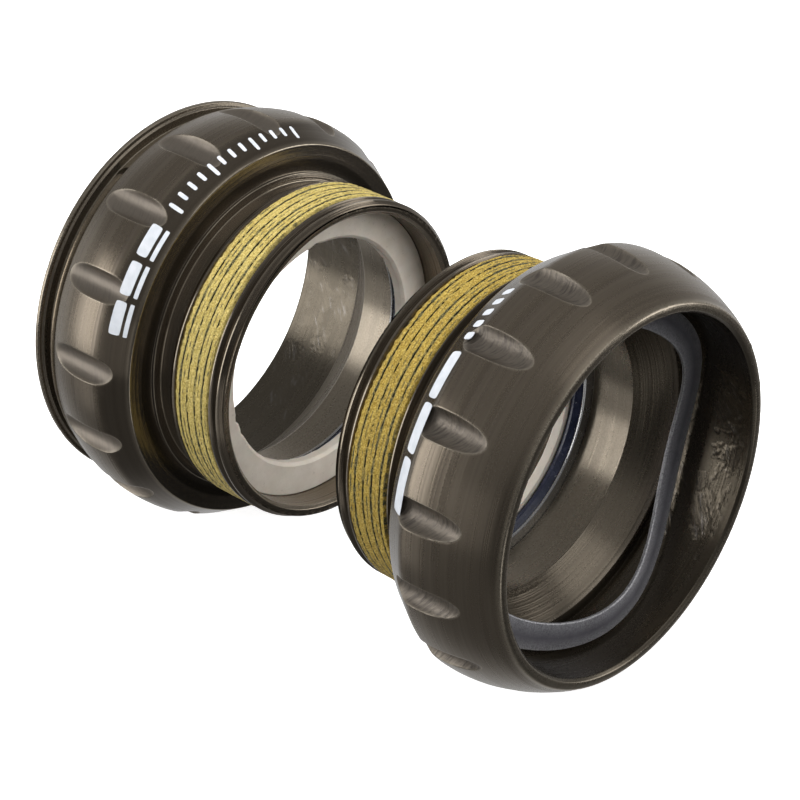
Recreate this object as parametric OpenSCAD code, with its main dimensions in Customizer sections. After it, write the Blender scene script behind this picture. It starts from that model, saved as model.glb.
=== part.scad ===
// External bottom bracket for half-axle cranks: a pair of screw-in bearing cups
// for a 1.370 in x 24 TPI shell, with their seals, wave washer and bearing clip.
// +Y runs along the spindle from the drive side to the left side, +X is forward
// and +Z is up.  The origin lies on the spindle axis, at the outboard end of the
// drive-side thread.

/* [Thread and shell] */
// Major diameter of the shell thread, 1.370 in
thread_d = 34.8; // [30:0.1:40]
// Length of the threaded wall, nose to undercut
thread_len = 7.7; // [6:0.1:9]
// Distance between the two noses as laid out
nose_gap = 15.4; // [8:0.1:40]

/* [Cup body] */
// Largest diameter over the body, which the cup tool fits round
body_d = 44.6; // [42:0.1:48]
// Diameter of the sharp edge round the seating face
face_d = 40.8; // [38:0.1:42]
// Length of the drive-side cup, nose to flange
drive_cup_len = 23.9; // [22:0.1:26]
// Length of the left cup, nose to rim
left_cup_len = 23.2; // [22:0.1:26]
// Outer diameter of the left cup's front rim
left_rim_d = 39.2; // [38.6:0.1:41]
// Number of tool notches round each cup
notch_count = 16; // [8:1:20]
// Width of a tool notch round the cup
notch_w = 3.1; // [2.5:0.1:5]
// Depth of a tool notch
notch_depth = 1.1; // [0.4:0.05:1.2]
// Radius of the disc that cuts the notches, which sets their length
notch_disc_r = 60; // [20:1:80]

/* [Bearing seat and seals] */
// Bore that takes the outer ring of the bearing
seat_d = 37; // [36:0.1:38]
// Bore between the seat and the seals
waist_d = 29.2; // [28:0.1:31]
// Bore of the nose, which holds the seals
nose_bore_d = 32; // [31:0.1:33]
// Inner diameter of the seal ring
seal_ring_id = 24.8; // [24:0.1:27]
// Inner diameter of the rubber axle seal
axle_seal_id = 25.8; // [25:0.1:28]

/* [Clip and wave washer] */
// Diameter of the clip's spring wire
clip_wire_d = 0.9; // [0.6:0.1:1]
// Angle between the two holes that the clip's ends enter
clip_gap = 60; // [40:5:90]
// Outer diameter of the wave washer
washer_od = 36; // [34:0.1:36.4]
// Inner diameter of the wave washer
washer_id = 30.2; // [29:0.1:33]
// Height of the washer's waves above and below its middle
washer_wave = 1.5; // [0.5:0.1:1.6]
// Rise of the washer's lower side, because it lies loose in the cup
washer_lean = 0.7; // [0:0.1:1]

/* [Hidden] */

eps = 0.01;
round_fn = 120;

// Colours
shell_colour = [0.27, 0.25, 0.23];
coating_colour = [0.67, 0.57, 0.27];
ring_colour = [0.78, 0.74, 0.68];
rubber_colour = [0.09, 0.10, 0.16];
steel_colour = [0.62, 0.63, 0.64];
spring_colour = [0.21, 0.21, 0.23];

// Every cup is drawn with its nose at z = 0 and its outboard end at +z.
thread_r = thread_d / 2;
thread_chamfer = 0.4;
coat_start = 2;
coat_end = 6.8;
coat_depth = 0.4;
neck_r = thread_r - 0.9;
collar_r = thread_r + 0.05;
face_z = thread_len + 2.5;
collar_z = face_z - 0.35;
face_r = face_d / 2;
body_r = body_d / 2;
cone_end = face_z + 3;
crown_steps = 8;

// Bore: nose bore, waist, cone and bearing seat
nose_bore_r = nose_bore_d / 2;
waist_r = waist_d / 2;
seat_r = seat_d / 2;
ledge_r = seat_r - 1.2;
waist_z = 5.9;
cone_z = 11;
ledge_z = 14.6;
edge_break = 0.3;

// Drive-side groove and flange
flange_r = 21.2;
flange_w = 0.8;
groove_w = 2.1;
groove_r = 19.75;
groove_edge_r = 20.85;
drive_crown_z = 15.6;
drive_crown_fall = 0.04;
drive_band_end = drive_cup_len - flange_w - groove_w;

// Left cup's barrel
left_crown_z = 14.5;
left_crown_fall = (body_r - left_rim_d / 2) / pow(left_cup_len - left_crown_z, 2);

// Notches are cut by a round-edged disc cutter, deepest behind the cone
notch_edge_r = (pow(notch_w / 2, 2) + pow(notch_depth, 2)) / (2 * notch_depth);
notch_mid_z = 14.8;
drive_notch_phase = 15.3;
left_notch_phase = 10.7;

// Seals: cream ring at the nose side, rubber seal, then a thin steel washer
seal_ring_z = 3.2;
seal_ring_t = 1.2;
axle_seal_t = 1.2;
seal_washer_z = seal_ring_z + seal_ring_t + axle_seal_t;
seal_washer_t = waist_z - seal_washer_z;
seal_washer_id = 26.6;

// Clip
clip_r = groove_r + 0.2 + clip_wire_d / 2;
clip_z = drive_band_end + clip_wire_d / 2 + 0.25;
clip_hole_d = 1.8;
clip_hole_z = clip_z + 0.35;
clip_middle = -1;
clip_leg_end = seat_r + 0.1;
clip_leg_len = clip_r - clip_leg_end + 0.2;

// Wave washer
washer_t = 0.4;
washer_waves = 3;
washer_steps = 90;
washer_trough = 11;
washer_lean_dir = 166;
washer_mid_z = ledge_z + 2.25;

// Drive side: the nose points to +Y
module on_drive_side() {
    translate([0, thread_len, 0])
        rotate([90, 0, 0])
            children();
}

// Left side: the nose points to -Y
module on_left_side() {
    translate([0, thread_len + nose_gap, 0])
        rotate([-90, 0, 0])
            children();
}

module turned(points) {
    rotate_extrude($fn = round_fn)
        polygon(points);
}

// Flat ring between two radii, from z0 over a thickness t
module flat_ring(inner_r, outer_r, z0, t) {
    translate([0, 0, z0])
        difference() {
            cylinder(r = outer_r, h = t, $fn = round_fn);
            translate([0, 0, -eps])
                cylinder(r = inner_r, h = t + 2 * eps, $fn = round_fn);
        }
}

// Gently crowned barrel from z0 to z1, as [radius, z] points
function crown(z0, z1, peak_z, fall) = [
    for (i = [0 : crown_steps])
        let (z = z0 + (z1 - z0) * i / crown_steps)
            [body_r - fall * pow(z - peak_z, 2), z]
];

// Outline of the nose, thread and seating face, from the nose bore outwards
nose_outline = [
    [nose_bore_r + edge_break, 0],
    [thread_r - thread_chamfer, 0],
    [thread_r, thread_chamfer],
    [thread_r, coat_start],
    [thread_r - coat_depth, coat_start],
    [thread_r - coat_depth, coat_end],
    [thread_r, coat_end],
    [thread_r, thread_len],
    [neck_r, thread_len],
    [neck_r, collar_z],
    [collar_r, collar_z],
    [collar_r, face_z],
    [face_r, face_z]
];

// Outline of the bore, from the outboard end back to the nose
function bore_outline(cup_len) = [
    [seat_r + edge_break, cup_len],
    [seat_r, cup_len - edge_break],
    [seat_r, ledge_z],
    [ledge_r, ledge_z],
    [waist_r, cone_z],
    [waist_r, waist_z],
    [nose_bore_r, waist_z],
    [nose_bore_r, edge_break]
];

// One tool notch at angle a, swept by a disc cutter with a rounded edge
module notch(a) {
    rotate([0, 0, a])
        translate([body_r - notch_depth + notch_disc_r, 0, notch_mid_z])
            rotate([90, 0, 0])
                rotate_extrude($fn = round_fn) {
                    translate([notch_disc_r - notch_edge_r, 0])
                        circle(r = notch_edge_r, $fn = 48);
                    translate([0, -notch_edge_r])
                        square([notch_disc_r - notch_edge_r, 2 * notch_edge_r]);
                }
}

module notches(phase) {
    for (i = [0 : notch_count - 1])
        notch(phase + i * 360 / notch_count);
}

module drive_cup() {
    color(shell_colour)
        on_drive_side()
            difference() {
                turned(concat(
                    nose_outline,
                    crown(cone_end, drive_band_end - 0.3, drive_crown_z, drive_crown_fall),
                    [
                        [groove_edge_r, drive_band_end],
                        [groove_r, drive_band_end],
                        [groove_r, drive_band_end + groove_w],
                        [flange_r - 0.6, drive_band_end + groove_w],
                        [flange_r, drive_band_end + groove_w + 0.3],
                        [flange_r, drive_cup_len]
                    ],
                    bore_outline(drive_cup_len)
                ));
                notches(90 - drive_notch_phase);
                for (side = [-1, 1])
                    rotate([0, 0, 90 - clip_middle + side * clip_gap / 2])
                        translate([seat_r - 1, 0, clip_hole_z])
                            rotate([0, 90, 0])
                                cylinder(d = clip_hole_d, h = 6, $fn = 48);
            }
}

module left_cup() {
    color(shell_colour)
        on_left_side()
            difference() {
                turned(concat(
                    nose_outline,
                    crown(cone_end, left_cup_len - 0.3, left_crown_z, left_crown_fall),
                    [[left_rim_d / 2 - 0.3, left_cup_len]],
                    bore_outline(left_cup_len)
                ));
                notches(left_notch_phase - 90);
            }
}

// Dried thread-locking compound that fills the middle turns of the thread
module thread_coating() {
    flat_ring(thread_r - coat_depth, thread_r, coat_start, coat_end - coat_start);
}

module seal_ring() {
    flat_ring(seal_ring_id / 2, nose_bore_r, seal_ring_z, seal_ring_t);
}

module axle_seal() {
    flat_ring(axle_seal_id / 2, nose_bore_r, seal_ring_z + seal_ring_t, axle_seal_t);
}

module seal_washer() {
    flat_ring(seal_washer_id / 2, nose_bore_r, seal_washer_z, seal_washer_t);
}

module drive_thread_coating() {
    color(coating_colour)
        on_drive_side()
            thread_coating();
}

module left_thread_coating() {
    color(coating_colour)
        on_left_side()
            thread_coating();
}

module drive_seal_ring() {
    color(ring_colour)
        on_drive_side()
            seal_ring();
}

module left_seal_ring() {
    color(ring_colour)
        on_left_side()
            seal_ring();
}

module drive_axle_seal() {
    color(rubber_colour)
        on_drive_side()
            axle_seal();
}

module left_axle_seal() {
    color(rubber_colour)
        on_left_side()
            axle_seal();
}

module drive_seal_washer() {
    color(steel_colour)
        on_drive_side()
            seal_washer();
}

module left_seal_washer() {
    color(steel_colour)
        on_left_side()
            seal_washer();
}

// Open ring of round wire whose two ends turn in through the cup wall
module bearing_clip() {
    first = 90 - clip_middle + clip_gap / 2;
    sweep = 360 - clip_gap;
    color(spring_colour)
        on_drive_side()
            translate([0, 0, clip_z]) {
                rotate([0, 0, first])
                    rotate_extrude(angle = sweep, $fn = round_fn)
                        translate([clip_r, 0])
                            circle(d = clip_wire_d, $fn = 32);
                for (a = [first, first + sweep])
                    rotate([0, 0, a])
                        translate([clip_leg_end, 0, 0])
                            rotate([0, 90, 0])
                                cylinder(d = clip_wire_d, h = clip_leg_len, $fn = 32);
            }
}

// Height of the wave washer's underside at angle a
function washer_height(a) =
    washer_mid_z
    - washer_wave * cos(washer_waves * (a - washer_trough))
    + washer_lean * cos(a - washer_lean_dir);

// Corner j of the washer's section at angle a, measured from +Z towards +X
function washer_corner(a, j) =
    let (r = (j == 0 || j == 3 ? washer_id : washer_od) / 2)
        [
            r * cos(a - 90),
            r * sin(a - 90),
            washer_height(a) + (j < 2 ? 0 : washer_t)
        ];

module wave_washer() {
    points = [
        for (i = [0 : washer_steps - 1])
            for (j = [0 : 3])
                washer_corner(i * 360 / washer_steps, j)
    ];
    faces = [
        for (i = [0 : washer_steps - 1])
            for (j = [0 : 3])
                let (
                    here = 4 * i,
                    next = 4 * ((i + 1) % washer_steps),
                    k = (j + 1) % 4
                )
                    [here + j, here + k, next + k, next + j]
    ];
    color(spring_colour)
        on_left_side()
            polyhedron(points = points, faces = faces, convexity = 4);
}

drive_cup();
drive_thread_coating();
drive_seal_ring();
drive_axle_seal();
drive_seal_washer();
bearing_clip();
left_cup();
left_thread_coating();
left_seal_ring();
left_axle_seal();
left_seal_washer();
wave_washer();
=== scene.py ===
"""Looks for an external bottom bracket: two turned cups with seals, a wave washer and a wire clip.

Every piece is turned or bent round the spindle axis, which is +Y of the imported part. A point on a
cup is given by its angle from +Z towards +X, its radius, and its depth from the cup's nose. Its
lengths are in millimetres until Side.place() turns them into metres.
"""

import math

import bmesh
import bpy
import numpy as np
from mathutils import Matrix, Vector


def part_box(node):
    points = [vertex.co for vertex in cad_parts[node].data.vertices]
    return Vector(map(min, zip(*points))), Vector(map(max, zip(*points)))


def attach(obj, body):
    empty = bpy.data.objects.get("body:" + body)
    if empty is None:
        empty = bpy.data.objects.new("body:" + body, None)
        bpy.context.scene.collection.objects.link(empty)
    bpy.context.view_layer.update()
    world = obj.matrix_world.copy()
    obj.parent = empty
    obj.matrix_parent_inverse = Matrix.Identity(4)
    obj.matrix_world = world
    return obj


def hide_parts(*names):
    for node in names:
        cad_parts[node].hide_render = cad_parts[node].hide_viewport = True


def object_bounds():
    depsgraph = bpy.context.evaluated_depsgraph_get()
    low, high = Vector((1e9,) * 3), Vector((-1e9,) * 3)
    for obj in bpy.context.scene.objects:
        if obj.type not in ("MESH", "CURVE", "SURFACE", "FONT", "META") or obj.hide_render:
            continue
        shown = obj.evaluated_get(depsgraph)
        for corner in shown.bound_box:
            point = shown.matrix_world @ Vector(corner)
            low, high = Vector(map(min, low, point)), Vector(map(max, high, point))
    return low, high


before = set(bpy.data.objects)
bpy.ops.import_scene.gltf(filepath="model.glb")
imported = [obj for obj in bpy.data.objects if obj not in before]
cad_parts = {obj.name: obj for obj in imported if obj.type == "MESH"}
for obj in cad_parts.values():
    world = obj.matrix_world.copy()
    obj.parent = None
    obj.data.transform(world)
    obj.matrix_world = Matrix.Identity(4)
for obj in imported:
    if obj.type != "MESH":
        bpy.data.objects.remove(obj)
CAD_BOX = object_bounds()

MM = 0.001
SEED = 20

# Thread
PITCH = 25.4 / 24
THREAD_R = 17.4
THREAD_DEPTH = 0.62
THREAD_START = 0.0
THREAD_END = 7.7
NOSE_EDGE_R = 17.0
UNDERCUT_R = 16.5

# Coating on the thread
COAT_START = 2.0
COAT_END = 6.8
COAT_EDGE_R = 16.95
COAT_UNDERSIDE_R = 16.7
COAT_MOST_R = THREAD_R + 0.04
COAT_COLUMNS = 1080
COAT_ROWS = 56

# Body
FACE_DEPTH = 10.2
FACE_INNER_R = 17.45
FACE_STEP = 0.35
FACE_R = 20.4
CONE_END = 13.2
BODY_R = 22.3
CORNER_BLEND = 0.22

# Outboard ends
DRIVE_BAND_END = 21.0
GROOVE_R = 19.75
GROOVE_END = 23.1
FLANGE_R = 21.2
LEFT_BAND_END = 22.6

# Tool notches
NOTCHES = 16
NOTCH_WIDTH = 3.1
NOTCH_CUT = 1.1
NOTCH_CUTTER_R = 60.0
NOTCH_DEEPEST = 14.8
NOTCH_MIDDLE = 15.8
NOTCH_SPAN_START = 11.0
NOTCH_SPAN_END = 20.5
NOTCH_LIP = 0.05
NOTCH_EDGE_DROP = 0.014
MILL_SHIFT = 31.0  # moves each notch to its own part of the milling noise

# Bore
SEAT_R = 18.5
SEAT_RELIEF = 0.16
LEDGE_DEPTH = 14.6
LEDGE_R = 17.3
WAIST_R = 14.6
WAIST_TOP = 11.0
WAIST_END = 5.9
NOSE_BORE_R = 16.0

# Seals, from the nose inwards
RING_FRONT = 3.2
RING_INNER_R = 12.4
SEAL_FRONT = 4.4
SEAL_INNER_R = 12.9
STEEL_FRONT = 5.6
STEEL_INNER_R = 13.3

# Wave washer
WASHER_INNER_R = 15.1
WASHER_OUTER_R = 18.0
WASHER_THICKNESS = 0.4
WASHER_EDGE = 0.14
WASHER_SEAM_R = 16.7
WASHER_DEPTH = 16.85
WAVES = 3
WAVE_HEIGHT = 1.5
WAVE_ANGLE = math.radians(11)
LEAN_HEIGHT = 0.7
LEAN_ANGLE = math.radians(166)

# Bearing clip; the angles are in degrees
CLIP_WIRE_R = 0.45
CLIP_WIRE_SIDES = 14
CLIP_R = 20.4
CLIP_DEPTH = 21.7
CLIP_FIRST = 29.2
CLIP_LAST = 328.8
CLIP_BEND = 2.8
CLIP_HOLE_ANGLES = (28, -30)
CLIP_HOLE_DEPTH = 22.05
CLIP_HOLE_R = 1.0
CLIP_WALL_R = 19.8
CLIP_CUTTER_LENGTH = 5.2

# Ink
INK_HEIGHT = 0.014
INK_UNDERSIDE = 0.05

# Mesh density
COLUMNS = 320
CELL_COLUMNS = 12
PERIOD = COLUMNS // NOTCHES
FILLET_SEGMENTS = 4
EDGE_HALVINGS = 40

# Mesh cleaning, in metres and degrees
WELD = 1.5e-6
NO_LENGTH = 1e-7
CREASE = 42.0


# ---------------------------------------------------------------- mesh helpers


class Side:
    """One end of the bracket: -1 is the drive side, whose nose points to +Y, and 1 the left side."""

    def __init__(self, node, side):
        low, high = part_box(node)
        self.side = side
        self.nose = (low.y if side > 0 else high.y) / MM
        self.length = (high.y - low.y) / MM

    def place(self, angle, radius, depth):
        """Points in metres in the part's frame."""
        angle, radius, depth = np.broadcast_arrays(angle, radius, depth)
        along = self.nose + self.side * depth
        return np.stack([radius * np.sin(angle), along, radius * np.cos(angle)], -1) * MM


class Patches:
    """Collects grids of points into one closed mesh."""

    def __init__(self):
        self.points, self.faces, self.marks = [], [], {}
        self.count = 0

    def grid(self, points, wrap=0, **marks):
        """points is rows x columns x 3. wrap is the row shift where the last column meets the
        first, or None for an open grid. marks are values for each point, or one for all."""
        rows, cols = points.shape[:2]
        index = self.count + np.arange(rows * cols).reshape(rows, cols)
        if wrap is None:
            after = index[:, 1:]
            here = index[:, :-1]
        else:
            moved = index[np.minimum(np.arange(rows) + wrap, rows - 1), 0]
            after = np.concatenate([index[:, 1:], moved[:, None]], 1)
            here = index
        quads = np.stack([here[:-1], after[:-1], after[1:], here[1:]], -1)
        self.faces.append(quads.reshape(-1, 4))
        self.points.append(points.reshape(-1, 3))
        for name, value in marks.items():
            flat = np.broadcast_to(value, (rows, cols)).reshape(-1)
            self.marks.setdefault(name, []).append((self.count, flat))
        self.count += rows * cols

    def build(self, name, material, crease=CREASE):
        """Weld the grids into an object. Edges bent by more than crease degrees stay sharp."""
        points = np.concatenate(self.points)
        mesh = bpy.data.meshes.new(name)
        mesh.from_pydata(points.tolist(), [], np.concatenate(self.faces).tolist())
        for mark, parts in self.marks.items():
            values = np.zeros(len(points), np.float32)
            for start, flat in parts:
                values[start : start + len(flat)] = flat
            mesh.attributes.new(mark, "FLOAT", "POINT").data.foreach_set("value", values)
        work = bmesh.new()
        work.from_mesh(mesh)
        bmesh.ops.remove_doubles(work, verts=work.verts, dist=WELD)
        bmesh.ops.dissolve_degenerate(work, edges=work.edges, dist=NO_LENGTH)
        bmesh.ops.recalc_face_normals(work, faces=work.faces)
        sharpen(work, crease)
        work.to_mesh(mesh)
        work.free()
        return finished(name, mesh, material)


def sharpen(work, crease):
    limit = math.radians(crease)
    for face in work.faces:
        face.smooth = True
    for edge in work.edges:
        edge.smooth = len(edge.link_faces) == 2 and edge.calc_face_angle(0.0) < limit


def finished(name, mesh, material):
    piece = bpy.data.objects.new(name, mesh)
    bpy.context.scene.collection.objects.link(piece)
    mesh.materials.append(material)
    weigh = piece.modifiers.new("face_weighted_normals", "WEIGHTED_NORMAL")
    weigh.weight = 75
    weigh.keep_sharp = True
    return piece


def rounded(corners):
    """Points (radius, depth, edge mark) along an outline with rounded corners (radius, depth, fillet).
    The edge mark picks out the fillets, whose colour the materials lighten: partly edge wear and partly
    a painted edge highlight.
    """
    segments = FILLET_SEGMENTS
    result = []
    for i, (r, d, fillet) in enumerate(corners):
        if fillet == 0 or i in (0, len(corners) - 1):
            result.append((r, d, 0.0))
            continue
        here = np.array([r, d])
        back = np.array(corners[i - 1][:2]) - here
        on = np.array(corners[i + 1][:2]) - here
        back, on = back / np.linalg.norm(back), on / np.linalg.norm(on)
        half = math.acos(max(-1.0, min(1.0, float(back @ on)))) / 2
        reach = fillet / math.tan(half)
        centre = here + (back + on) / np.linalg.norm(back + on) * fillet / math.sin(half)
        first, last = here + back * reach - centre, here + on * reach - centre
        turn = math.pi - 2 * half
        for k in range(segments + 1):
            a = math.sin(turn * (1 - k / segments))
            b = math.sin(turn * k / segments)
            point = centre + (first * a + last * b) / math.sin(turn)
            result.append((point[0], point[1], 1.0 if 0 < k < segments else 0.5))
    return np.array(result)


def angles(columns=COLUMNS, start=0.0):
    return start + np.arange(columns) * 2 * math.pi / columns


def bell(value, middle, width):
    """1 at the middle, fading to nothing a few widths from it."""
    return np.exp(-(((value - middle) / width) ** 2))


def turned_rows(side, radius, depth, start=0.0):
    """Rows of points turned round the axis, from a column of radii and one of depths."""
    return side.place(angles(start=start)[None, :], radius, depth)


def turned_piece(name, side, corners, material, burr=0.0):
    """A closed ring from the corners of its section. burr is the size of flaws round its inner edge."""
    burr_reach = 0.6
    middle = [(corners[0][0] + corners[-1][0]) / 2, (corners[0][1] + corners[-1][1]) / 2, 0]
    outline = rounded([middle] + corners + [middle])
    noise = smooth_noise(np.random.default_rng(SEED), 3, COLUMNS, 3)[:1]
    flaws = burr * (0.4 * noise + np.maximum(0, noise - 1.2))
    inner = outline[:, 0].min()
    at_edge = np.clip(1 - (outline[:, 0:1] - inner) / burr_reach, 0, 1)
    radius = outline[:, 0:1] + at_edge * np.maximum(flaws, 0)
    patches = Patches()
    patches.grid(turned_rows(side, radius, outline[:, 1:2]), worn=outline[:, 2:3])
    return patches.build(name, material)


# ---------------------------------------------------------------- the cups


def thread_radius(turns):
    """Radius of the thread at a number of turns along the helix; whole numbers are in the root."""
    stations = [0, 0.1, 0.44, 0.5, 0.56, 0.9, 1.0]
    root, crest = THREAD_R - THREAD_DEPTH, THREAD_R
    flank_foot = root + 0.03
    radii = [root, flank_foot, crest, crest, crest, flank_foot, root]
    return np.interp(np.mod(turns, 1.0), stations, radii)


def thread_rows(side, start):
    """The helical wall, as rows that follow the thread and stop at both ends."""
    stations = np.array([0, 0.05, 0.1, 0.2, 0.32, 0.44, 0.47, 0.53, 0.56, 0.68, 0.8, 0.9])
    turns = math.ceil((THREAD_END - THREAD_START) / PITCH) + 2
    along = np.concatenate([stations + k for k in range(turns)] + [[turns]])[:, None]
    turn = angles(start=start)[None, :]
    round_share = (np.arange(COLUMNS) / COLUMNS)[None, :]
    depth = THREAD_START + PITCH * (along - 1 + round_share)
    depth = np.clip(depth, THREAD_START, THREAD_END)
    phase = (depth - THREAD_START) / PITCH - round_share
    radius = thread_radius(phase)
    chamfer = NOSE_EDGE_R + (depth - THREAD_START)
    run_out = THREAD_R - np.maximum(0, depth - THREAD_END + 0.3)
    radius = np.minimum(radius, np.minimum(chamfer, run_out))
    crest = np.clip((radius - THREAD_R + 0.1) / 0.1, 0, 1)
    return side.place(turn, radius, depth), len(stations), crest


def helix_depth(side, rows):
    return side.side * (rows[..., 1] / MM - side.nose)


def crown_radius(shape, depth):
    """Radius of the body's outside: a cone, then the crowned band, with a soft corner between."""
    crown = BODY_R - shape["fall"] * (depth - shape["peak"]) ** 2
    corner_r = BODY_R - shape["fall"] * (CONE_END - shape["peak"]) ** 2
    cone = FACE_R + (depth - FACE_DEPTH) * (corner_r - FACE_R) / (CONE_END - FACE_DEPTH)
    mix = np.clip(0.5 + 0.5 * (crown - cone) / CORNER_BLEND, 0, 1)
    return crown + (cone - crown) * mix - CORNER_BLEND * mix * (1 - mix)


def notch_floor(across, depth):
    """Height over the axis of the milled floor, left by a round-edged disc cutter."""
    edge_r = ((NOTCH_WIDTH / 2) ** 2 + NOTCH_CUT**2) / (2 * NOTCH_CUT)
    across = np.clip(across, -0.98 * edge_r, 0.98 * edge_r)
    reach = NOTCH_CUTTER_R - edge_r + np.sqrt(edge_r**2 - across**2)
    centre = BODY_R - NOTCH_CUT + NOTCH_CUTTER_R
    return centre - np.sqrt(reach**2 - (depth - NOTCH_DEEPEST) ** 2)


def body_height(shape, across, depth):
    """Height over the axis of the body's outside, beside a notch's middle line."""
    return np.sqrt(crown_radius(shape, depth) ** 2 - across**2)


def span_depths():
    """Rows between the two ends of the notched band, closest together at the body's corner."""
    near = 0.6
    cone = np.linspace(NOTCH_SPAN_START, CONE_END - near, 4)[:-1]
    corner = np.linspace(CONE_END - near, CONE_END + near, 10)[:-1]
    band = np.linspace(CONE_END + near, NOTCH_SPAN_END, 17)
    return np.concatenate([cone, corner, band])


def notch_edge(shape, across, depth):
    """Points where the milled floor meets the body, on lines from the notch's middle to its border."""
    low, high = np.zeros_like(across), np.ones_like(across)
    for _ in range(EDGE_HALVINGS):
        middle = (low + high) / 2
        x, d = across * middle, NOTCH_MIDDLE + (depth - NOTCH_MIDDLE) * middle
        inside = notch_floor(x, d) < body_height(shape, x, d)
        low, high = np.where(inside, middle, low), np.where(inside, high, middle)
    return across * low, NOTCH_MIDDLE + (depth - NOTCH_MIDDLE) * low


def notch_border(shape, depths, half_angle):
    """Border of one notch's part of the band, as a loop of (across, depth)."""
    sides = np.linspace(-half_angle, half_angle, CELL_COLUMNS + 1)
    start_r = crown_radius(shape, depths[0])
    end_r = crown_radius(shape, depths[-1])
    radii = crown_radius(shape, depths)
    across = np.concatenate(
        [
            start_r * np.sin(sides[:-1]),
            radii[:-1] * math.sin(half_angle),
            end_r * np.sin(sides[:0:-1]),
            -radii[:0:-1] * math.sin(half_angle),
        ]
    )
    depth = np.concatenate(
        [
            np.full(CELL_COLUMNS, depths[0]),
            depths[:-1],
            np.full(CELL_COLUMNS, depths[-1]),
            depths[:0:-1],
        ]
    )
    return across, depth


def notch_rings(shape, depths, half_angle):
    """Rings from the border to the middle of one notch: (across, depth, height, cut, edge mark), where
    the edge mark lightens the lip: partly wear, partly a painted edge highlight.
    """
    border_x, border_d = notch_border(shape, depths, half_angle)
    edge_x, edge_d = notch_edge(shape, border_x, border_d)
    reach = np.hypot(edge_x, edge_d - NOTCH_MIDDLE)
    out_x, out_d = edge_x / reach, (edge_d - NOTCH_MIDDLE) / reach
    rings = []
    for share in (1.0, 0.72, 0.48, 0.29, 0.14):
        x, d = edge_x + (border_x - edge_x) * share, edge_d + (border_d - edge_d) * share
        rings.append((x, d, body_height(shape, x, d), 0.0, 0.0))
    x, d = edge_x + out_x * NOTCH_LIP, edge_d + out_d * NOTCH_LIP
    rings.append((x, d, body_height(shape, x, d), 0.0, 0.5))
    edge_height = body_height(shape, edge_x, edge_d) - NOTCH_EDGE_DROP
    rings.append((edge_x, edge_d, edge_height, 0.5, 1.0))
    x, d = edge_x - out_x * NOTCH_LIP, edge_d - out_d * NOTCH_LIP
    rings.append((x, d, notch_floor(x, d), 1.0, 0.5))
    for share in (0.9, 0.79, 0.66, 0.52, 0.38, 0.24, 0.1, 0.0):
        x, d = edge_x * share, NOTCH_MIDDLE + (edge_d - NOTCH_MIDDLE) * share
        rings.append((x, d, notch_floor(x, d), 1.0, 0.0))
    return rings


def polish_at(depth):
    """Share of fine turned finish: from the cone to the nose a cup is smoother, and its colour is darker
    as a painted dark reflection.
    """
    return np.clip((CONE_END + 0.1 - depth) / 0.5, 0, 1)


def notched_band(patches, side, shape):
    """The band with the tool notches, between the cone and the outboard end."""
    depths = span_depths()
    step = 2 * math.pi / COLUMNS
    half_angle = step * CELL_COLUMNS / 2
    plain_columns = PERIOD - CELL_COLUMNS
    plain_radius = crown_radius(shape, depths)[:, None]
    plain_polish = polish_at(depths)[:, None]
    rings = notch_rings(shape, depths, half_angle)
    across, depth, height, cut, worn = (np.array(part) for part in zip(*rings))
    cut, worn = cut[:, None], worn[:, None]
    polish = polish_at(depth) * (1 - np.minimum(1, 2 * cut))
    for k in range(NOTCHES):
        middle = shape["phase"] + k * 2 * math.pi / NOTCHES
        plain = middle + half_angle + step * np.arange(plain_columns + 1)
        rows = side.place(plain[None, :], plain_radius, depths[:, None])
        patches.grid(rows, wrap=None, polish=plain_polish)
        rows = side.place(middle + np.arctan2(across, height), np.hypot(across, height), depth)
        along = depth - NOTCH_MIDDLE + MILL_SHIFT * k
        patches.grid(rows, notch=cut, worn=worn, polish=polish, mill_x=across, mill_y=along)
    return shape["phase"] - half_angle


def bore_corners():
    """Corners from the inner end of the bearing seat, down the bore, to the nose."""
    return [
        (SEAT_R, LEDGE_DEPTH + 0.5, 0.03),
        (SEAT_R + SEAT_RELIEF, LEDGE_DEPTH + 0.42, 0.03),
        (SEAT_R + SEAT_RELIEF, LEDGE_DEPTH, 0.03),
        (LEDGE_R + 0.06, LEDGE_DEPTH, 0.12),
        (WAIST_R, WAIST_TOP, 0.25),
        (WAIST_R, WAIST_END, 0.1),
        (NOSE_BORE_R, WAIST_END, 0),
        (NOSE_BORE_R, 0.35, 0.1),
        (NOSE_BORE_R + 0.35, 0, 0.1),
        (NOSE_EDGE_R - 0.05, 0, 0),
    ]


def back_corners():
    """Corners from the end of the thread to the notched band."""
    return [
        (THREAD_R - 0.32, THREAD_END, 0),
        (16.9, THREAD_END + 0.06, 0.08),
        (UNDERCUT_R, THREAD_END + 0.5, 0.25),
        (UNDERCUT_R, FACE_DEPTH - FACE_STEP, 0.15),
        (FACE_INNER_R, FACE_DEPTH - FACE_STEP, 0.1),
        (FACE_INNER_R, FACE_DEPTH, 0.03),
        (FACE_R, FACE_DEPTH, 0.22),
    ]


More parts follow.
